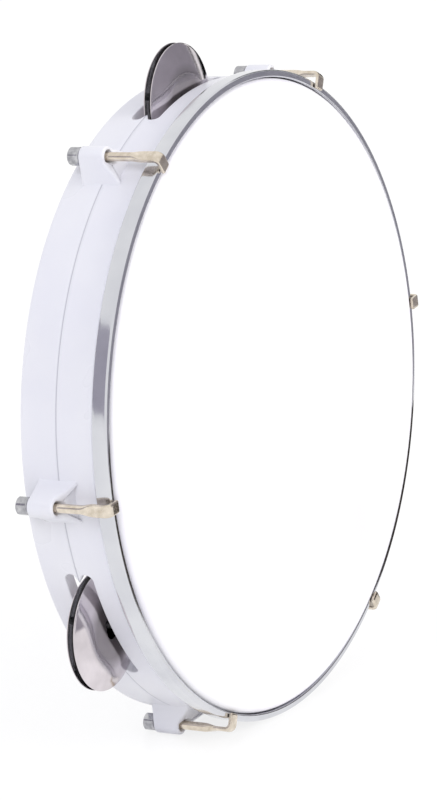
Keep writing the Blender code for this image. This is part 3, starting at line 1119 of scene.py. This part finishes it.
def makeFlat(name, corners, material):
    # A single four-sided face of the studio
    mesh = bpy.data.meshes.new(name)
    mesh.from_pydata(corners, [], [(0, 1, 2, 3)])
    mesh.materials.append(material)
    flat = bpy.data.objects.new(name, mesh)
    bpy.context.collection.objects.link(flat)
    return flat


def makeFloor():
    # Pale paper. The camera and the gloss see it mostly as plain white, less so near the drum, where
    # enough of the paper is left to hold the shadow.
    material, tree = newMaterial("studioFloor")
    rays = addNode(tree, "ShaderNodeLightPath")
    paper = addNode(
        tree,
        "ShaderNodeBsdfPrincipled",
        {
            "Base Color": linearColour(floor["colour"]),
            "Roughness": floor["roughness"],
            "IOR": floor["ior"],
        },
    )
    white = addNode(tree, "ShaderNodeEmission", {"Color": (1, 1, 1, 1), "Strength": floor["glow"]})
    seen = addNode(
        tree,
        "ShaderNodeMath",
        {0: rays.outputs["Is Camera Ray"], 1: rays.outputs["Is Glossy Ray"]},
        operation="MAXIMUM",
    )
    place = addNode(tree, "ShaderNodeTexCoord").outputs["Object"]
    distance = addNode(tree, "ShaderNodeVectorMath", {0: place}, operation="LENGTH")
    near, far = floor["reach"]
    low, high = floor["white"]
    whiteness = addNode(
        tree,
        "ShaderNodeMapRange",
        {
            "Value": distance.outputs["Value"],
            "From Min": near,
            "From Max": far,
            "To Min": low,
            "To Max": high,
        },
    )
    share = addNode(
        tree, "ShaderNodeMath", {0: seen.outputs[0], 1: whiteness.outputs["Result"]}, operation="MULTIPLY"
    )
    mix = addNode(
        tree,
        "ShaderNodeMixShader",
        {0: share.outputs[0], 1: paper.outputs["BSDF"], 2: white.outputs["Emission"]},
    )
    addNode(tree, "ShaderNodeOutputMaterial", {"Surface": mix.outputs["Shader"]})
    half = floor["size"] / 2
    corners = [(-half, -half, 0), (half, -half, 0), (half, half, 0), (-half, half, 0)]
    makeFlat("studioFloor", corners, material)


def makeWorld():
    # White to the camera, in reflections and through clear things; a plain light for all else
    sky = bpy.data.worlds.new("studioWorld")
    bpy.context.scene.world = sky
    sky.use_nodes = True
    tree = sky.node_tree
    tree.nodes.clear()
    rays = addNode(tree, "ShaderNodeLightPath")
    plain = addNode(
        tree,
        "ShaderNodeBackground",
        {"Color": linearColour(world["colour"]), "Strength": world["light"]},
    )
    white = addNode(tree, "ShaderNodeBackground", {"Color": (1, 1, 1, 1), "Strength": 1.0})
    seen = addNode(
        tree,
        "ShaderNodeMath",
        {0: rays.outputs["Is Camera Ray"], 1: rays.outputs["Is Glossy Ray"]},
        operation="MAXIMUM",
    )
    seen = addNode(
        tree,
        "ShaderNodeMath",
        {0: seen.outputs[0], 1: rays.outputs["Is Transmission Ray"]},
        operation="MAXIMUM",
    )
    mix = addNode(
        tree,
        "ShaderNodeMixShader",
        {0: seen.outputs[0], 1: plain.outputs["Background"], 2: white.outputs["Background"]},
    )
    addNode(tree, "ShaderNodeOutputWorld", {"Surface": mix.outputs["Shader"]})


def makeLamp(name, facts):
    # A square softbox that faces the drum and doesn't show in the metal
    light = bpy.data.lights.new(name, "AREA")
    light.size = facts["size"]
    light.energy = facts["watts"]
    light.color = linearColour(facts["colour"])[:3]
    lamp = bpy.data.objects.new(name, light)
    bpy.context.collection.objects.link(lamp)
    lamp.location = facts["place"]
    aim = Vector(drum["rearMiddle"]) - lamp.location
    lamp.rotation_euler = aim.to_track_quat("-Z", "Y").to_euler()
    lamp.visible_glossy = False


def makeCard(name, facts):
    # An upright card that only reflections see. It gives the bright metal something dark to mirror.
    material, tree = newMaterial(name)
    paper = addNode(
        tree,
        "ShaderNodeBsdfPrincipled",
        {
            "Base Color": linearColour(facts["colour"]),
            "Roughness": cardRoughness,
            "Specular IOR Level": 0.0,
        },
    )
    addNode(tree, "ShaderNodeOutputMaterial", {"Surface": paper.outputs["BSDF"]})
    azimuth = math.radians(facts["azimuth"])
    middle = np.array([math.sin(azimuth), -math.cos(azimuth), 0.0]) * facts["away"]
    across = np.array([math.cos(azimuth), math.sin(azimuth), 0.0]) * facts["width"] / 2
    low, high = (np.array([0.0, 0.0, z]) for z in facts["span"])
    left, right = middle - across, middle + across
    corners = [left + low, right + low, right + high, left + high]
    card = makeFlat(name, [corner.tolist() for corner in corners], material)
    card.visible_camera = False
    card.visible_diffuse = False
    card.visible_shadow = False


# The camera was fitted to the hoop's outline and the six hooks. Lengths are in units of the hoop's
# radius. In an upright picture the sensor's size lies along its height.
photoCamera = {
    "unit": 0.1519,
    "aimHeight": 0.0457,
    "distance": 9.9920,
    "azimuth": -61.3466,
    "elevation": 13.3868,
    "roll": 1.0908,
    "aside": (-0.170376, -0.0112536),
    "focalPixels": 3178.04,
    "pictureHeight": 800,
    "sensor": 36,
    "clipStart": 0.05,
}


def makeCamera():
    # It looks back along the direction of its azimuth and elevation, turned about it by the roll
    facts = photoCamera
    azimuth, elevation, roll = (math.radians(facts[key]) for key in ("azimuth", "elevation", "roll"))
    back = Vector((
        math.sin(azimuth) * math.cos(elevation),
        -math.cos(azimuth) * math.cos(elevation),
        math.sin(elevation),
    ))
    right = Vector((math.cos(azimuth), math.sin(azimuth), 0))
    up = back.cross(right)
    turnedRight = right * math.cos(roll) + up * math.sin(roll)
    turnedUp = up * math.cos(roll) - right * math.sin(roll)
    aim = Vector(onDrum(0, 0, facts["aimHeight"]))
    asideRight, asideUp = facts["aside"]
    offset = back * facts["distance"] + turnedRight * asideRight + turnedUp * asideUp
    data = bpy.data.cameras.new("photoCamera")
    data.lens = facts["focalPixels"] * facts["sensor"] / facts["pictureHeight"]
    data.sensor_width = facts["sensor"]
    data.clip_start = facts["clipStart"]
    camera = bpy.data.objects.new("photoCamera", data)
    bpy.context.collection.objects.link(camera)
    camera.rotation_euler = Matrix((turnedRight, turnedUp, back)).transposed().to_euler()
    camera.location = aim + offset * facts["unit"]
    bpy.context.scene.camera = camera


makeFloor()
makeWorld()
for name, facts in lamps.items():
    makeLamp(name, facts)
for name, facts in cards.items():
    makeCard(name, facts)
makeCamera()
bpy.context.scene.view_settings.view_transform = "Standard"
print("studio and camera made")
